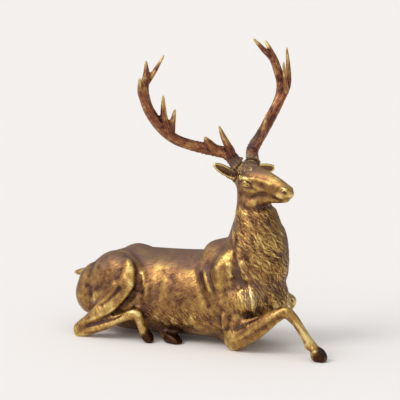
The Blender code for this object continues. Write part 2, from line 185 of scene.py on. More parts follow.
def roundLine(line, steps=5):
    # a smooth curve through the points
    line = np.array(line, float)
    ends = np.vstack([line[:1], line, line[-1:]])
    curve = []
    for a, b, c, d in zip(ends, ends[1:], ends[2:], ends[3:]):
        for k in range(steps):
            t = k / steps
            curve.append(b + 0.5 * (c - a) * t + (a - 2.5 * b + 2 * c - 0.5 * d) * t ** 2
                         + (1.5 * (b - c) + 0.5 * (d - a)) * t ** 3)
    curve.append(line[-1])
    return np.array(curve)


def shelved(points):
    # the points in order of their place along the animal, so that those near a line are found at once
    order = np.argsort(points[:, 0])
    return {"points": points, "order": order, "ahead": points[order, 0]}


def reachOf(clay, line, width):
    low, high = line.min(0) - width, line.max(0) + width
    slab = clay["order"][np.searchsorted(clay["ahead"], low[0]):np.searchsorted(clay["ahead"], high[0])]
    places = clay["points"][slab]
    return slab[((places > low) & (places < high)).all(1)]


# For the patina: values on the points of a piece.
def addValues(piece, name, values):
    layer = piece.data.attributes.new(name, "FLOAT", "POINT")
    layer.data.foreach_set("value", np.asarray(values, np.float32))


def finishRelief(piece, points, edges, faces, extras, spans):
    # stores how far each place stands above the skin round it, fine for strokes and broad for folds
    even = points
    for step in range(5):
        even = meanOfNeighbours(even, edges)
    broad = even
    for step in range(40):
        broad = meanOfNeighbours(broad, edges)
    facing = readNormals(piece)
    fine = np.einsum("ij,ij->i", points - even, facing)
    fold = np.einsum("ij,ij->i", even - broad, facing)
    fold = meanOfNeighbours(fold[:, None], edges)[:, 0]
    tree = KDTree(len(points))
    for k, point in enumerate(points):
        tree.insert(point, k)
    tree.balance()
    applyStep(piece, "DECIMATE", ratio=min(1, faces / (2 * len(piece.data.polygons))))
    thin, _ = readClay(piece)
    nearest = np.array([tree.find(point)[1] for point in thin])
    addValues(piece, "fineRelief", np.clip(0.5 + fine[nearest] / spans[0], 0, 1))
    addValues(piece, "foldRelief", np.clip(0.5 + fold[nearest] / spans[1], 0, 1))
    for name, values in extras.items():
        addValues(piece, name, values[nearest])
    return thin, facing[nearest]


# Body forms: height in mm (below 0 is a groove), width in mm, and the places that the tool went through.
bodyForms = [
    (-7, 11, [(-262, -84, 287), (-230, -88, 284), (-197, -98, 268), (-177, -108, 242), (-168, -119, 204),
              (-172, -129, 172), (-196, -130, 138), (-226, -130, 110), (-253, -136, 90)]),
    (4, 14, [(-238, -98, 274), (-209, -110, 266), (-191, -121, 243), (-184, -130, 205), (-190, -140, 173),
             (-217, -145, 137), (-249, -154, 108), (-291, -162, 82), (-327, -166, 62)]),
    (-4.5, 8, [(-214, -148, 186), (-237, -155, 160), (-262, -158, 135), (-300, -158, 106)]),
    (4, 14, [(-236, -146, 200), (-262, -144, 176), (-286, -143, 157), (-312, -143, 127)]),
    (3, 10, [(-340, -126, 168), (-331, -136, 144), (-321, -137, 118)]),
    (-3.5, 11, [(-162, -110, 234), (-152, -123, 190), (-157, -121, 152)]),
    (1.6, 8, [(-138, -98, 222), (-132, -121, 182), (-146, -122, 138)]),
    (-13, 36, [(-330, -90, 268), (-368, -82, 250), (-395, -74, 225)]),
    (4, 36, [(-262, -62, 294), (-225, -50, 296)]),
    (-3, 14, [(-102, -80, 250), (-94, -113, 190), (-100, -122, 140)]),
    (-4.5, 10, [(24, -70, 270), (46, -93, 226), (67, -106, 184), (84, -112, 150), (92, -116, 120)]),
    (4.5, 10, [(54, -81, 258), (80, -108, 226), (103, -115, 184)]),
    (-3.5, 7, [(78, -92, 256), (98, -110, 226), (117, -116, 186)]),
    (4, 15, [(117, -100, 286), (133, -119, 233), (138, -121, 167)]),
    (10, 17, [(203, -101, 308), (209, -97, 269), (211, -88, 226)]),
    (6, 13, [(163, -104, 296), (166, -106, 262), (170, -106, 232)]),
    (-5, 18, [(196, -106, 198), (222, -110, 194), (240, -100, 198)]),
    (-1.5, 10, [(150, -112, 206), (157, -123, 150)]),
    (4, 9, [(156, -121, 134), (143, -118, 100), (138, -112, 66)]),
    (-3, 8, [(172, -121, 114), (162, -120, 64)]),
    (2.5, 10, [(182, -122, 106), (205, -112, 129)]),
    (-2, 14, [(-70, -110, 240), (-40, -118, 196), (-60, -121, 150)]),
    (2.5, 22, [(-38, -115, 180), (-22, -118, 150)]),
]

# The legs that differ from side to side.
legForms = [
    (-6, 9, [(186, -126, 70), (222, -122, 95), (253, -118, 113), (284, -112, 128)]),
    (3, 8, [(202, -132, 44), (253, -134, 77), (294, -130, 106), (335, -121, 138), (362, -112, 158)]),
    (1.5, 5, [(382, -113, 140), (424, -112, 96), (455, -114, 56)]),
    (-2, 5, [(388, -100, 118), (415, -114, 84), (441, -116, 50)]),
    (3, 7, [(-350, -167, 52), (-309, -164, 70), (-264, -155, 93), (-232, -144, 115)]),
    (-4.5, 6, [(-340, -166, 40), (-292, -163, 55), (-249, -158, 72), (-208, -150, 92)]),
    (2.5, 7, [(-350, -168, 22), (-291, -162, 37), (-236, -157, 60), (-184, -154, 88)]),
]

# Forms of the head in its own frame: along the muzzle, aside and height.
headForms = [
    (2, 5, [(-20, -37, 564), (12, -41, 566), (34, -36, 562), (79, -27, 556), (129, -20, 544)]),
    (2.4, 6, [(-6, -44, 556), (12, -47, 560), (28, -43, 557), (44, -35, 549)]),
    (-3.4, 10, [(10, -44, 545), (24, -44, 543), (36, -41, 539)]),
    (-0.7, 6, [(40, -38, 537), (50, -34, 532), (62, -31, 529)]),
    (3, 8, [(4, -42, 528), (20, -41, 524), (48, -34, 522), (78, -27, 524)]),
    (-2.2, 8, [(10, -42, 506), (34, -38, 499), (54, -30, 505), (74, -24, 511), (100, -19, 509)]),
    (4, 15, [(14, -40, 484), (36, -36, 476), (60, -26, 484)]),
    (-2.4, 9, [(-6, -42, 520), (-4, -45, 495), (8, -44, 471), (37, -41, 456), (60, -24, 459), (80, -8, 474)]),
    (-1.1, 2.6, [(116, -18, 507), (130, -16, 503), (148, -15, 503)]),
    (3, 10, [(132, -24, 517), (150, -22, 515), (164, -17, 514)]),
    (3, 9, [(168, -12, 512), (174, -8, 520), (174, 0, 522)]),
    (3.5, 9, [(148, -10, 496), (162, -8, 499), (168, 0, 501)]),
    (2, 5, [(148, -21, 541), (162, -18, 540), (174, -12, 534)]),
    (-4.5, 3.2, [(160, -21, 531), (167, -18, 527), (171, -15, 523)]),
]


def workForms(points, normals, forms, skin, mirrored):
    rise = np.zeros(len(points))
    clay = shelved(points)
    for height, width, line in forms:
        for hand in ((1, -1) if mirrored else (1,)):
            curve = roundLine([(x, y * hand, z) for x, y, z in line])
            curve = np.array([skin.find_nearest(Vector(p))[0] for p in curve])
            near = reachOf(clay, curve, width * 2.6)
            gap, share, _, _ = nearLine(points[near], curve)
            length = np.linalg.norm(np.diff(curve, axis=0), axis=1).sum()
            fromEnd = np.minimum(share, 1 - share) * length
            fade = 0.24 + 0.76 * ramp(fromEnd, 0, max(0.14 * length, 1.2 * width))
            rise[near] += height * np.exp(-(gap / width) ** 2) * fade
    return points + normals * rise[:, None]


def headLine(line, hand):
    return [tuple(headPoint(along, aside * hand, height)) for along, aside, height in line]


# Ears: thick-rimmed cupped leaves, set over the plain ones of the casting.
earShapes = {
    "near": {"root": (-34, -26, 558), "tip": (-64, -101, 603), "mouth": (0.75, -0.55, -0.1), "wideMm": 15,
             "pull": 0.4},
    "far": {"root": (-34, 24, 566), "tip": (4, 112, 579), "mouth": (0.55, -0.8, 0.0), "wideMm": 20,
            "pull": 0.1},
}


def makeEar(name, shape):
    bpy.ops.object.select_all(action="DESELECT")
    bpy.ops.mesh.primitive_grid_add(x_subdivisions=26, y_subdivisions=20, size=2)
    ear = bpy.context.active_object
    ear.name = name
    start, end = headPoint(*shape["root"]), headPoint(*shape["tip"])
    along = (end - start) / np.linalg.norm(end - start)
    mouth = np.array(shape["mouth"])
    mouth = mouth - along * (mouth @ along)
    mouth /= np.linalg.norm(mouth)
    across = np.cross(along, mouth)
    length = np.linalg.norm(end - start)
    for vertex in ear.data.vertices:
        s, t = (vertex.co.x + 1) / 2, vertex.co.y
        wide = shape["wideMm"] * (0.4 + 0.6 * sin(pi * (0.12 + 0.76 * s)) - 0.3 * s ** 6)
        cup = wide * 0.5 * (1 - abs(t) ** 2.6) * (1 - 0.35 * s)
        vertex.co = spot(*(start + along * length * s + across * wide * t - mouth * (cup + 2)))
    applyStep(ear, "SOLIDIFY", thickness=0.007, offset=0)
    return ear


def narrowEars(points):
    # draws the plain ears in to the slender leaf of the real ones
    points = points.copy()
    for shape in earShapes.values():
        start, end = headPoint(*shape["root"]), headPoint(*shape["tip"])
        along = (end - start) / np.linalg.norm(end - start)
        across = np.cross(along, shape["mouth"])
        across /= np.linalg.norm(across)
        ahead = (points - start) @ along
        near = np.linalg.norm(points - start - ahead[:, None] * along, axis=1) < 40
        pull = shape["pull"] * ramp(ahead, 22, 46) * near
        points -= (pull * ((points - start) @ across))[:, None] * across
    return points


def makeEgg(name, place, size, turn):
    bpy.ops.object.select_all(action="DESELECT")
    rotation = (0, radians(turn[0]), radians(layout["headTurn"] + turn[1]))
    bpy.ops.mesh.primitive_uv_sphere_add(segments=28, ring_count=18, radius=0.001, location=place,
                                         scale=size, rotation=rotation)
    egg = bpy.context.active_object
    egg.name = name
    placeApplied(egg)
    return egg


def makeRoll(name, places, thickMm):
    # a tapered roll of wax along the places
    curve = bpy.data.curves.new(name, "CURVE")
    curve.dimensions = "3D"
    curve.bevel_depth = thickMm / 1000
    curve.bevel_resolution = 3
    curve.use_fill_caps = True
    path = curve.splines.new("POLY")
    line = roundLine(places, 4)
    path.points.add(len(line) - 1)
    for k, point in enumerate(line):
        path.points[k].co = (*spot(*point), 1)
        path.points[k].radius = 0.45 + 0.55 * sin(pi * (k + 0.5) / len(line))
    roll = bpy.data.objects.new(name, curve)
    bpy.context.scene.collection.objects.link(roll)
    pickOnly(roll)
    bpy.ops.object.convert(target="MESH")
    return bpy.context.active_object


eyes = {"place": (22, -41, 543), "sizeMm": (10, 7.5, 7), "lidMm": 1.4}
features = []
for hand in (1, -1):
    along, aside, height = eyes["place"]
    features.append(makeEgg("eye", headSpot(along, aside * hand, height), eyes["sizeMm"], (12, 9 * hand)))
    upper = [(9, -45, 544), (15, -49, 549), (22, -49.5, 550), (30, -46, 546), (37, -40.5, 538)]
    lower = [(9, -45, 543), (15, -48, 538), (22, -48, 535.5), (30, -45, 535), (37, -40.5, 538)]
    features.append(makeRoll("upperLid", headLine(upper, hand), eyes["lidMm"]))
    features.append(makeRoll("lowerLid", headLine(lower, hand), eyes["lidMm"]))
    wing = [(157, -19, 527), (161, -21.5, 532), (167, -20, 534), (173, -16, 531)]
    features.append(makeRoll("nostrilWing", headLine(wing, hand), 1.8))
for name, shape in earShapes.items():
    features.append(makeEar(name + "Ear", shape))
print("features ready")


# The casting: a copy of the plain solid, rounded, with its forms worked in.
casting = {
    "voxelMm": 2.6,
    "hairVoxelMm": 2.0,
    "faces": 194000,
    "maneRounds": 70,
    "flankRounds": 45,
    "rumpRounds": 16,
}
stag = copyOfNode("stag", "stagCasting")
applyStep(stag, "SUBSURF", levels=2, render_levels=2)
applyStep(stag, "REMESH", mode="VOXEL", voxel_size=casting["voxelMm"] / 1000)
points, edges = readClay(stag)
x, y, z = points.T
offFloor = ramp(z, 2, 16)
inMane = ramp(x, 110, 160) * ramp(z, 140, 175) * (1 - ramp(z, 450, 470))
onBreast = ramp(x, 150, 185) * ramp(z, 96, 120) * (1 - ramp(z, 200, 230)) * (1 - ramp(x, 250, 275))
onFlank = ramp(x, -190, -160) * (1 - ramp(x, 150, 180)) * ramp(z, 92, 120)
onFringe = ramp(x, -150, -120) * (1 - ramp(x, 105, 130)) * ramp(z, 30, 50) * (1 - ramp(z, 110, 140))
onFringe *= ramp(abs(y), 60, 90)
onRump = (1 - ramp(x, -190, -160)) * ramp(z, 110, 150)
amount = np.clip(0.8 * offFloor - ramp(z, 582, 590) - 0.45 * ramp(z, 480, 500), 0, 1)[:, None]
points = smoothed(points, edges, amount, 16)
onMane = offFloor * np.maximum(inMane, onBreast)
onSides = offFloor * np.maximum(0.8 * onFlank, 0.8 * onFringe)
points = melted(points, edges, onMane[:, None], casting["maneRounds"])
points = melted(points, edges, onSides[:, None], casting["flankRounds"])
points = melted(points, edges, onRump[:, None], casting["rumpRounds"])
points = narrowEars(points)
writeClay(stag, points)
print("casting smoothed", len(points))

skin = skinOf(points, stag)
points = workForms(points, readNormals(stag), bodyForms, skin, True)
points = workForms(points, readNormals(stag), legForms, skin, False)
for hand in (1, -1):
    forms = [(height, width, headLine(line, hand)) for height, width, line in headForms]
    points = workForms(points, readNormals(stag), forms, skin, False)
writeClay(stag, points)
joinInto(stag, features)
applyStep(stag, "REMESH", mode="VOXEL", voxel_size=casting["hairVoxelMm"] / 1000)
points, edges = readClay(stag)
points = smoothed(points, edges, np.ones((len(points), 1)), 2)
writeClay(stag, points)
print("forms worked", len(points))


# Hair: locks and strokes that follow the lie of the coat over the skin.
def coatFlow(place, normal):
    x, y, z = place
    if z < 135 and x < 120:  # the fringe under the flanks hangs forwards
        way = Vector((0.7, 0, -0.8))
    elif x < 105:  # on the trunk the coat runs back and down
        way = Vector((-0.75, 0, -0.6))
    else:  # the mane sweeps forwards, across the breast and down, flatter under the jaw
        high = min(1, max(0, (z - 170) / 200))
        sweep = 0.45 + 0.85 * high - 0.5 * max(0, (z - 420) / 60)
        way = Vector((0.88 * sweep, (0.5 if normal.y < 0.45 else -0.3) * sweep, -1))
    way -= normal * way.dot(normal)
    return way.normalized()


def hairPath(skin, start, lengthMm, bend, phase, flow=coatFlow, steps=8):
    place, normal, _, _ = skin.find_nearest(Vector(start))
    path = [np.array(place)]
    for k in range(steps):
        way = flow(place, normal)
        curl = bend * (0.6 + 0.9 * k / steps)  # a lock curls most at its tip
        way.rotate(Matrix.Rotation(curl * sin(2 * pi * k / steps + phase), 3, normal))
        place, normal, _, _ = skin.find_nearest(place + way * (lengthMm / steps))
        path.append(np.array(place))
    return np.array(path)


def pressLock(field, clay, normals, path, widthMm, heightMm, strands):
    near = reachOf(clay, path, widthMm * 1.2)
    if not len(near):
        return
    gap, share, off, ahead = nearLine(clay["points"][near], path)
    side = np.sign(np.einsum("ij,ij->i", np.cross(ahead, off), normals[near]))
    wide = widthMm * (0.42 + 0.58 * np.sin(pi * share ** 0.8)) * (1 - share ** 5) + 0.01
    across = np.clip(gap / wide, 0, 1)
    dome = 1 - across ** 1.6
    rise = heightMm * (0.15 + 0.85 * share ** 0.8) * (1 - share ** 9)
    comb = 1 - 0.3 * (0.5 - 0.5 * np.cos(2 * pi * strands * across * side + 1.3 * side))
    field[near] = np.maximum(field[near], rise * dome * comb)


def cutStroke(field, clay, path, widthMm, depthMm):
    near = reachOf(clay, path, widthMm * 2)
    if not len(near):
        return
    gap, share, _, _ = nearLine(clay["points"][near], path)
    cut = depthMm * np.exp(-(gap / widthMm) ** 2) * np.sin(pi * np.clip(share, 0.02, 0.98)) ** 0.5
    field[near] = np.maximum(field[near], cut)


# The line up the middle of the neck, from the breast to the jaw.
neckLine = {"aheadMm": 202, "footMm": 120, "riseMm": 380, "bowMm": 12, "swayMm": -6, "reachMm": 135}


def neckHit(skin, height, turn, chance):
    # the skin straight out from the neck's line; what lies farther out is a leg
    share = (height - neckLine["footMm"]) / neckLine["riseMm"]
    ahead = neckLine["aheadMm"] + neckLine["bowMm"] * sin(pi * min(1, share))
    middle = Vector((ahead, neckLine["swayMm"] * share ** 3, height))
    way = Vector((cos(turn), sin(turn), 0))
    hit = skin.ray_cast(middle + way * 300 + Vector((0, 0, chance.uniform(-8, 8))), -way, 300)[0]
    return None if hit is None or (hit - middle).length > neckLine["reachMm"] else hit


def between(ends, share):
    return ends[0] + (ends[1] - ends[0]) * share


# Tiers of locks: heights, how far round they reach, length, half width and rise.
maneTiers = [
    {"name": "waves", "seed": 3, "heights": (405, 180), "tiers": 11, "turn": (116, 92),
     "lengthMm": (78, 120), "widthMm": (8.5, 12), "riseMm": (3.6, 5.8), "strands": 1.6, "gap": 1.6},
    {"name": "locks", "seed": 5, "heights": (468, 122), "tiers": 18, "turn": (164, 106),
     "lengthMm": (56, 98), "widthMm": (5.2, 7.6), "riseMm": (2.3, 4.1), "strands": 1, "gap": 1.85},
]
normals = readNormals(stag)
skin = skinOf(points, stag)
x, y, z = points.T
region = np.flatnonzero((x > 90) & (z > 90) & (z < 500))
coat, coatNormals = shelved(points[region]), normals[region]
body = shelved(points)
rise = np.zeros(len(points))
for plan in maneTiers:
    chance = random.Random(plan["seed"])
    field = np.zeros(len(region))
    for tier in range(plan["tiers"]):
        share = tier / (plan["tiers"] - 1)
        big = min(1, share * 1.7)
        height = between(plan["heights"], share)
        spread = radians(between(plan["turn"], share))
        widthMm = between(plan["widthMm"], big)
        lengthMm = between(plan["lengthMm"], big)
        riseMm = between(plan["riseMm"], big)
        count = int(2 * spread * (62 + 45 * big) / (widthMm * plan["gap"]))
        for k in range(count):
            turn = spread * (2 * (k + 0.5 * (tier % 2) + chance.uniform(-0.3, 0.3)) / count - 1)
            hit = neckHit(skin, height, turn, chance)
            if hit is None:
                continue
            path = hairPath(skin, hit, lengthMm * chance.uniform(0.7, 1.25), chance.uniform(0.3, 0.9),
                            chance.uniform(0, 6.3))
            rim = 1 - 0.85 * (abs(turn) / spread) ** 3
            pressLock(field, coat, coatNormals, path, widthMm * chance.uniform(0.8, 1.15),
                      riseMm * chance.uniform(0.75, 1.2) * rim, plan["strands"])
    rise[region] += field
    print(plan["name"], "pressed")

# Strokes of the tool, cut in over the locks and the coat, and the rough tufts of the crown.
strokes = {
    "seed": 9,
    "mane": {"count": 450, "lengthMm": (30, 60), "bend": (0.2, 0.6), "widthMm": (1.9, 2.5),
             "depthMm": (0.6, 1.2)},
    "coat": {"count": 3600, "lengthMm": (10, 26), "bend": (0.1, 0.5), "widthMm": (1.9, 2.8),
             "depthMm": (0.25, 0.6)},
    "fringe": {"count": 520, "lengthMm": (24, 48), "bend": (0.2, 0.7), "widthMm": (1.8, 2.5),
               "depthMm": (0.7, 1.5)},
    "crown": {"count": 110, "lengthMm": (14, 26), "bend": (0.2, 0.9), "widthMm": (3.5, 5.5),
              "riseMm": (2.6, 5)},
}


def combedPath(start, plan, **settings):
    return hairPath(skin, start, chance.uniform(*plan["lengthMm"]), chance.uniform(*plan["bend"]),
                    chance.uniform(0, 6.3), **settings)


def combStroke(field, clay, start, plan, **settings):
    path = combedPath(start, plan, **settings)
    cutStroke(field, clay, path, chance.uniform(*plan["widthMm"]), chance.uniform(*plan["depthMm"]))


chance = random.Random(strokes["seed"])
field = np.zeros(len(region))
for k in range(strokes["mane"]["count"]):
    height = chance.uniform(140, 470)
    hit = neckHit(skin, height, radians(chance.uniform(-165, 165)), chance)
    if hit is not None:
        combStroke(field, coat, hit, strokes["mane"])
rise[region] -= field

field = np.zeros(len(points))
bare = np.flatnonzero((z > 12) & (z < 470))
for k in range(strokes["coat"]["count"]):
    combStroke(field, body, points[bare[chance.randrange(len(bare))]], strokes["coat"], steps=4)
for k in range(strokes["fringe"]["count"]):
    side = chance.choice((-1, 1))
    outside = Vector((chance.uniform(-150, 110), 300 * side, chance.uniform(55, 125)))
    hit = skin.ray_cast(outside, Vector((0, -side, 0)), 300)[0]
    if hit is not None:
        combStroke(field, body, hit, strokes["fringe"])
rise -= field

# Rough hair lies out from the foot of each antler, and stops short of the flat seat.
seats = {"right": (-28, -29, 598), "left": (-19, 29, 600)}
aims = {"right": (-0.52, -0.52, 0.68), "left": (-0.42, 0.62, 0.66)}
onSeats = np.zeros(len(points))
for hand, seat in seats.items():
    foot = headPoint(*seat)
    aim = (Matrix.Rotation(radians(layout["headTurn"]), 3, "Z") @ Vector(aims[hand])).normalized()
    flat = ramp((points - foot) @ np.array(aim), -3.5, -1) * (np.linalg.norm(points - foot, axis=1) < 36)
    onSeats = np.maximum(onSeats, flat)
    side = aim.orthogonal()
    for k in range(strokes["crown"]["count"]):
        out = side.copy()
        out.rotate(Matrix.Rotation(chance.uniform(0, 6.3), 3, aim))
        start = Vector(foot) + out * chance.uniform(17, 34) - aim * chance.uniform(3, 20)
        lean = out - aim * 0.7
        path = combedPath(start, strokes["crown"], steps=4,
                          flow=lambda place, normal: (lean - normal * lean.dot(normal)).normalized())
        pressLock(rise, body, normals, path, chance.uniform(*strokes["crown"]["widthMm"]),
                  chance.uniform(*strokes["crown"]["riseMm"]), 1)
print("strokes cut")

rise *= ramp(z, 1, 10) * (1 - onSeats)
points = points + normals * rise[:, None]
points[:, 2] = np.maximum(points[:, 2], 0)
writeClay(stag, points)

thin, facing = finishRelief(stag, points, edges, casting["faces"], {}, (1.6, 9))
print("casting thinned", len(stag.data.polygons))
x, y, z = thin.T
up = facing[:, 2]

# Matt patches, the near side's by strength, middle and half size ahead and up.
mattPatches = [
    (0.5, (190, 250), (34, 60)),
    (0.6, (9, 268), (36, 24)),
    (0.6, (-300, 250), (40, 22)),
]


def patchAt(middle, size):
    return np.exp(-((x - middle[0]) / size[0]) ** 2 - ((z - middle[1]) / size[1]) ** 2)


mattAndPaintedShade = 0.9 * ramp(up, 0.32, 0.88) * ramp(z, 215, 260) * (1 - ramp(x, 120, 160))
for strength, middle, size in mattPatches:
    mattAndPaintedShade = np.maximum(mattAndPaintedShade, strength * patchAt(middle, size) * ramp(-y, 20, 60))
# painted shade: the lower breast under the neck and above the forelegs is darkened to a dull mauve brown
mattAndPaintedShade = np.maximum(mattAndPaintedShade, 0.85 * patchAt((246, 186), (42, 42)) * ramp(x, 185, 205))
# painted shade: the far side of the chest front, turned away from the light, is darkened to a dull mauve brown
mattAndPaintedShade = np.maximum(mattAndPaintedShade, 0.75 * ramp(x, 262, 300) * ramp(y, -40, 0) * ramp(z, 180, 230))
mattAndPaintedShade = np.maximum(mattAndPaintedShade, 0.5 * ramp(up, 0.35, 0.8) * ramp(z, 500, 530))
fromCrown = np.abs((thin - headPoint(0, 0, 0)) @ headLeft)
mattAndPaintedShade = np.maximum(mattAndPaintedShade, 0.9 * ramp(z, 566, 584) * (1 - 0.65 * ramp(fromCrown, 42, 60)))
hooves = [((494, -106, 14), 36), ((122, 83, 12), 36), ((-120, -130, 12), 36), ((-42, -100, 12), 44)]
dark = np.zeros(len(thin))
for centre, radius in hooves:
    dark = np.maximum(dark, 1 - ramp(np.linalg.norm(thin - centre, axis=1), radius * 0.75, radius * 1.1))
addValues(stag, "mattAndPaintedShade", mattAndPaintedShade)
addValues(stag, "hoof", dark)
pickOnly(stag)
bpy.ops.object.shade_smooth()


# Antlers: copies of the plain solids, with the grooves and pearls of real antler worked in.
antlers = {
    "voxelMm": 1.4,
    "grooveMm": 0.65,
    "coronetMm": 4.6,
    "pearls": 230,
    "faces": 90000,
}
beamPlaces = {
    "right": [(129, -44, 633), (77, -78, 650), (22, -114, 666), (-24, -158, 696), (-52, -202, 746),
              (-70, -231, 803), (-78, -234, 864), (-79, -222, 882)],
    "left": [(148, 87, 629), (112, 229, 668), (109, 282, 700), (120, 341, 766), (124, 355, 799),
             (121, 360, 833), (99, 351, 908), (88, 346, 932)],
}
tinePlaces = {
    "right": [
        [(142, -46, 640), (136, -72, 672), (131, -96, 706), (127, -110, 734)],
        [(92, -72, 650), (82, -92, 672), (74, -112, 696)],
        [(-26, -170, 712), (-30, -186, 752), (-28, -196, 792), (-26, -201, 833)],
        [(-18, -160, 712), (-10, -168, 744), (4, -176, 788)],
        [(-79, -226, 870), (-86, -203, 905), (-98, -184, 938)],
        [(-78, -224, 866), (-66, -190, 902), (-49, -152, 956)],
        [(-70, -238, 800), (-82, -250, 842), (-81, -256, 892)],
    ],
    "left": [
        [(150, 80, 628), (178, 84, 660), (189, 88, 700), (192, 106, 760)],
        [(92, 349, 916), (67, 322, 950), (44, 298, 984)],
        [(94, 349, 920), (80, 352, 948), (62, 354, 974)],
        [(117, 318, 734), (134, 336, 775), (150, 354, 824), (147, 362, 880), (139, 364, 954)],
        [(152, 340, 800), (150, 330, 850), (148, 322, 908)],
    ],
}


def aroundLine(points, line):
    # distance, share of the way, length along the line in mm and the turn about it
    gap, share, off, ahead = nearLine(points, line)
    length = np.linalg.norm(np.diff(line, axis=0), axis=1).sum()
    side = np.cross(ahead, (0.35, 0.2, 0.9))
    side /= np.linalg.norm(side, axis=1)[:, None]
    over = np.cross(ahead, side)
    turn = np.arctan2(np.einsum("ij,ij->i", off, over), np.einsum("ij,ij->i", off, side))
    return gap, share, share * length, turn


def carveAntler(hand, seed):
    antler = copyOfNode(hand + "_antler", hand + "AntlerCasting")
    applyStep(antler, "SUBSURF", levels=1, render_levels=1)
    applyStep(antler, "REMESH", mode="VOXEL", voxel_size=antlers["voxelMm"] / 1000)
    points, edges = readClay(antler)
    foot = headPoint(*seats[hand])
    aim = np.array((Matrix.Rotation(radians(layout["headTurn"]), 3, "Z") @ Vector(aims[hand])).normalized())
    fromFoot = (points - foot) @ aim
    onSeat = 1 - ramp(fromFoot, 0.8, 3)
    points = smoothed(points, edges, (1 - onSeat)[:, None], 10)
    beam = roundLine([foot, *beamPlaces[hand]], 5)
    lines = [beam, *[roundLine(tine, 4) for tine in tinePlaces[hand]]]
    gaps, shares, reaches, turns = (np.array(v) for v in zip(*[aroundLine(points, line) for line in lines]))
    nearestLine = gaps.argmin(0)
    pick = (nearestLine, np.arange(len(points)))
    share, reach, turn = shares[pick], reaches[pick], turns[pick]
    waver = 0.9 * np.sin(reach / 23 + 1.7 * nearestLine) + 0.5 * np.sin(reach / 9)
    grooves = 0.6 * np.cos(5 * turn + waver) + 0.4 * np.cos(11 * turn - 1.4 * waver) - 0.2
    fade = np.where(nearestLine == 0, 1 - ramp(share, 0.94, 1), 1 - ramp(share, 0.55, 0.95))
    rise = antlers["grooveMm"] * grooves * fade
    coronet = np.exp(-((fromFoot - 5) / 6) ** 2) * (nearestLine == 0) * (reach < 34)
    rise += antlers["coronetMm"] * coronet * (0.4 + 0.6 * np.cos(9 * turn + 0.8 * np.sin(3 * turn)))
    clay = shelved(points)
    chance = random.Random(seed)
    rough = np.flatnonzero((nearestLine == 0) & (reach < 170))
    for k in range(antlers["pearls"]):
        centre = points[rough[chance.randrange(len(rough))]]
        width = chance.uniform(2.2, 4.2)
        closeBy = reachOf(clay, centre[None, :], width * 2.2)
        off = np.linalg.norm(points[closeBy] - centre, axis=1)
        bump = chance.uniform(0.7, 1.9) * np.exp(-((off / width) ** 2))
        rise[closeBy] = np.maximum(rise[closeBy], bump)
    normals = readNormals(antler)
    low, high = points.min(0), points.max(0)
    points = np.clip(points + normals * (rise * (1 - onSeat))[:, None], low, high)
    writeClay(antler, points)
    tip = np.where(nearestLine == 0, 0, ramp(share, 0.45, 1))
    burr = 1 - ramp(np.linalg.norm(points - foot, axis=1), 22, 46)
    finishRelief(antler, points, edges, antlers["faces"], {"tip": tip, "burr": 0.8 * burr}, (1.3, 5))
    pickOnly(antler)
    bpy.ops.object.shade_smooth()
    return antler


antlerPieces = {"right": carveAntler("right", 21), "left": carveAntler("left", 22)}
print("antlers carved", [len(piece.data.polygons) for piece in antlerPieces.values()])


# Finishes
def linear(code):
    values = [int(code[k:k + 2], 16) / 255 for k in (1, 3, 5)]
    return (*[v / 12.92 if v <= 0.04045 else ((v + 0.055) / 1.055) ** 2.4 for v in values], 1)


def addNode(material, kind, inputs=None, **settings):
    node = material.node_tree.nodes.new("ShaderNode" + kind)
    for name, value in settings.items():
        setattr(node, name, value)
    for socket, value in (inputs or {}).items():
        if isinstance(value, bpy.types.NodeSocket):
            material.node_tree.links.new(value, node.inputs[socket])
        else:
            node.inputs[socket].default_value = value
    return node


def newMaterial(name):
    material = bpy.data.materials.new(name)
    material.use_nodes = True
    return material, material.node_tree.nodes["Principled BSDF"]


def colourSteps(material, value, steps):
    blend = addNode(material, "ValToRGB", {"Fac": value})
    marks = blend.color_ramp.elements
    while len(marks) < len(steps):
        marks.new(0.5)
    for mark, (place, code) in zip(marks, steps):
        mark.position = place
        mark.color = linear(code)
    return blend.outputs["Color"]


def weighted(material, base, parts):
    # base plus each value times its weight, every value counted from its middle of 0.5
    total = base - 0.5 * sum(weight for _, weight in parts)
    for part, weight in parts:
        step = addNode(material, "Math", {0: part, 1: weight, 2: total}, operation="MULTIPLY_ADD")
        total = step.outputs["Value"]
    return total


def speckle(material, sizeMm, detail, place):
    # clouds or grains about as wide as the size
    noise = addNode(material, "TexNoise", {"Vector": place, "Scale": 1000 / sizeMm, "Detail": detail})
    return noise.outputs["Fac"]


def tinted(material, amount, colour, code):
    mix = addNode(material, "MixRGB", {"Fac": amount, "Color1": colour, "Color2": linear(code)})
    return mix.outputs["Color"]


def stored(material, name):
    return addNode(material, "Attribute", attribute_name=name).outputs["Fac"]


# Cast bronze, gilt-toned by a heated patina and rubbed back by hand: bright on what stands proud,
# umber in the hollows, and dull mauve brown where the patina was left matt.
# The same dull mauve brown is also painted shade on the lower breast and on the far side of the chest front.
giltPatina = {"cloudMm": 70, "blotchMm": 22, "chasingMm": 5, "grainMm": 2.2, "roughness": 0.33}


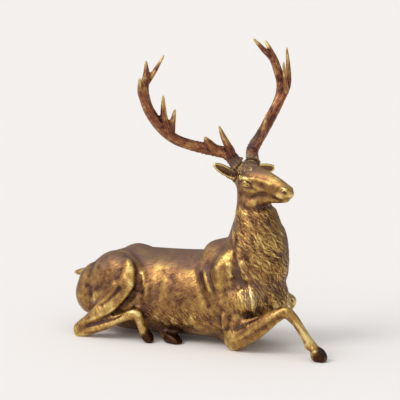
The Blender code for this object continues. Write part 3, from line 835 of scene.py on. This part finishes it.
def giltBronze():
    material, shader = newMaterial("patinated gilt bronze")
    place = addNode(material, "TexCoord").outputs["Object"]
    cloud = speckle(material, giltPatina["cloudMm"], 3, place)
    blotch = speckle(material, giltPatina["blotchMm"], 4, place)
    chasing = speckle(material, giltPatina["chasingMm"], 3, place)
    fine = stored(material, "fineRelief")
    fold = stored(material, "foldRelief")
    worn = weighted(material, 0.46, [(fine, 0.7), (fold, 0.75), (cloud, 0.75), (blotch, 0.7), (chasing, 0.45)])
    colour = colourSteps(material, worn, [
        (0.08, "#301C14"), (0.26, "#5B3A2A"), (0.42, "#805A39"), (0.56, "#9C7544"), (0.72, "#BC9854"),
        (0.9, "#E4CA88")])
    mattAndPaintedShade = stored(material, "mattAndPaintedShade")
    # the matt share is partly matt patina and partly painted shade on the breast and chest front, both mixed
    # toward mauve brown below
    matt = weighted(material, 0.12, [(mattAndPaintedShade, 0.8), (blotch, 1.3), (chasing, 0.8), (worn, -0.9)])
    matt = addNode(material, "MapRange", {"Value": matt, "From Min": -0.22, "From Max": 0.5}).outputs["Result"]
    mauveVeilAndShade = addNode(material, "Math", {0: matt, 1: 0.85}, operation="MULTIPLY").outputs["Value"]
    colour = tinted(material, mauveVeilAndShade, colour, "#70564A")
    colour = tinted(material, stored(material, "hoof"), colour, "#442A1B")
    material.node_tree.links.new(colour, shader.inputs["Base Color"])
    metal = addNode(material, "MapRange", {"Value": matt, "To Min": 0.94, "To Max": 0.45}).outputs["Result"]
    material.node_tree.links.new(metal, shader.inputs["Metallic"])
    sheen = weighted(material, giltPatina["roughness"], [(blotch, 0.2), (worn, -0.14)])
    sheen = addNode(material, "Math", {0: matt, 1: 0.28, 2: sheen}, operation="MULTIPLY_ADD").outputs["Value"]
    material.node_tree.links.new(sheen, shader.inputs["Roughness"])
    grain = speckle(material, giltPatina["grainMm"], 2, place)
    tooled = weighted(material, 0.5, [(chasing, 1), (grain, 0.5)])
    bump = addNode(material, "Bump", {"Height": tooled, "Distance": 0.0011, "Strength": 0.8})
    material.node_tree.links.new(bump.outputs["Normal"], shader.inputs["Normal"])
    return material


# Cast bronze under an iron-red patina: nearly black in the grooves, copper where the tines were rubbed.
umberPatina = {"cloudMm": 45, "blotchMm": 14, "grainMm": 3, "roughness": 0.38}


def umberBronze():
    material, shader = newMaterial("umber patinated bronze")
    place = addNode(material, "TexCoord").outputs["Object"]
    cloud = speckle(material, umberPatina["cloudMm"], 3, place)
    blotch = speckle(material, umberPatina["blotchMm"], 4, place)
    grain = speckle(material, umberPatina["grainMm"], 3, place)
    fine = stored(material, "fineRelief")
    fold = stored(material, "foldRelief")
    worn = weighted(material, 0.46, [(fine, 0.5), (fold, 0.4), (cloud, 1.0), (blotch, 0.7), (grain, 0.3)])
    worn = addNode(material, "Math", {0: stored(material, "tip"), 1: 0.2, 2: worn},
                   operation="MULTIPLY_ADD").outputs["Value"]
    colour = colourSteps(material, worn, [
        (0.1, "#241815"), (0.3, "#4A2E24"), (0.46, "#744434"), (0.62, "#96603F"), (0.8, "#AF8853"),
        (0.96, "#D8BB78")])
    burr = stored(material, "burr")
    colour = tinted(material, burr, colour, "#6B5849")
    material.node_tree.links.new(colour, shader.inputs["Base Color"])
    metal = addNode(material, "MapRange", {"Value": burr, "To Min": 0.85, "To Max": 0.4}).outputs["Result"]
    material.node_tree.links.new(metal, shader.inputs["Metallic"])
    sheen = weighted(material, umberPatina["roughness"], [(blotch, 0.25), (worn, -0.15)])
    sheen = addNode(material, "Math", {0: burr, 1: 0.25, 2: sheen}, operation="MULTIPLY_ADD").outputs["Value"]
    material.node_tree.links.new(sheen, shader.inputs["Roughness"])
    bump = addNode(material, "Bump", {"Height": weighted(material, 0.5, [(grain, 1), (blotch, 0.6)]),
                                      "Distance": 0.001, "Strength": 0.7})
    material.node_tree.links.new(bump.outputs["Normal"], shader.inputs["Normal"])
    return material


stag.data.materials.append(giltBronze())
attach(stag, "root")
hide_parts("stag")
umber = umberBronze()
for hand, antler in antlerPieces.items():
    antler.data.materials.append(umber)
    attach(antler, "root")
    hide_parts(hand + "_antler")
print("finishes ready")

# Floor, light and camera
bpy.context.scene.view_settings.view_transform = "Standard"  # colours show as their hex values
bpy.ops.object.select_all(action="DESELECT")
bpy.ops.mesh.primitive_plane_add(size=40, location=(0, 0, -0.0005))
floor = bpy.context.active_object
floor.name = "floor"
paper, paperShader = newMaterial("matt paper")
paperShader.inputs["Base Color"].default_value = linear("#F4F0ED")
paperShader.inputs["Roughness"].default_value = 1
paperShader.inputs["Specular IOR Level"].default_value = 0
floor.data.materials.append(paper)

# A pale room, brightest in front and to the left, with one soft sun so that the floor is evenly lit.
studio = {"wall": "#FBFBFB", "bright": 1.2, "dim": 0.34, "keyPower": 0.93, "keySpread": 26}
world = bpy.data.worlds.new("studio")
bpy.context.scene.world = world
world.use_nodes = True
sky = world.node_tree.nodes["Background"]
outlook = addNode(world, "TexCoord").outputs["Generated"]
toward = addNode(world, "VectorMath", {0: outlook, 1: (-0.35, -0.75, 0.56)}, operation="DOT_PRODUCT")
glow = addNode(world, "MapRange", {"Value": toward.outputs["Value"], "From Min": -0.4, "From Max": 1.0,
                                   "To Min": studio["dim"], "To Max": studio["bright"]})
world.node_tree.links.new(glow.outputs["Result"], sky.inputs["Strength"])
sky.inputs["Color"].default_value = linear(studio["wall"])
bpy.ops.object.light_add(type="SUN", location=(-1.6, -2.6, 3.2))
key = bpy.context.active_object
key.name = "key"
key.data.energy = studio["keyPower"]
key.data.angle = radians(studio["keySpread"])
key.rotation_euler = Vector((-1.6, -2.4, 3.0)).to_track_quat("Z", "Y").to_euler()

view = {"turn": 28, "rise": 9, "awayM": 6.4, "wideM": 1.32, "sensorMm": 36}
target = spot(0, 0, 468)
turn, rise = radians(view["turn"]), radians(view["rise"])
away = Vector((sin(turn) * cos(rise), -cos(turn) * cos(rise), sin(rise)))
bpy.ops.object.camera_add(location=target + away * view["awayM"],
                          rotation=away.to_track_quat("Z", "Y").to_euler())
camera = bpy.context.active_object
camera.data.sensor_width = view["sensorMm"]
camera.data.lens = view["sensorMm"] * view["awayM"] / view["wideM"]
bpy.context.scene.camera = camera
print("scene ready")
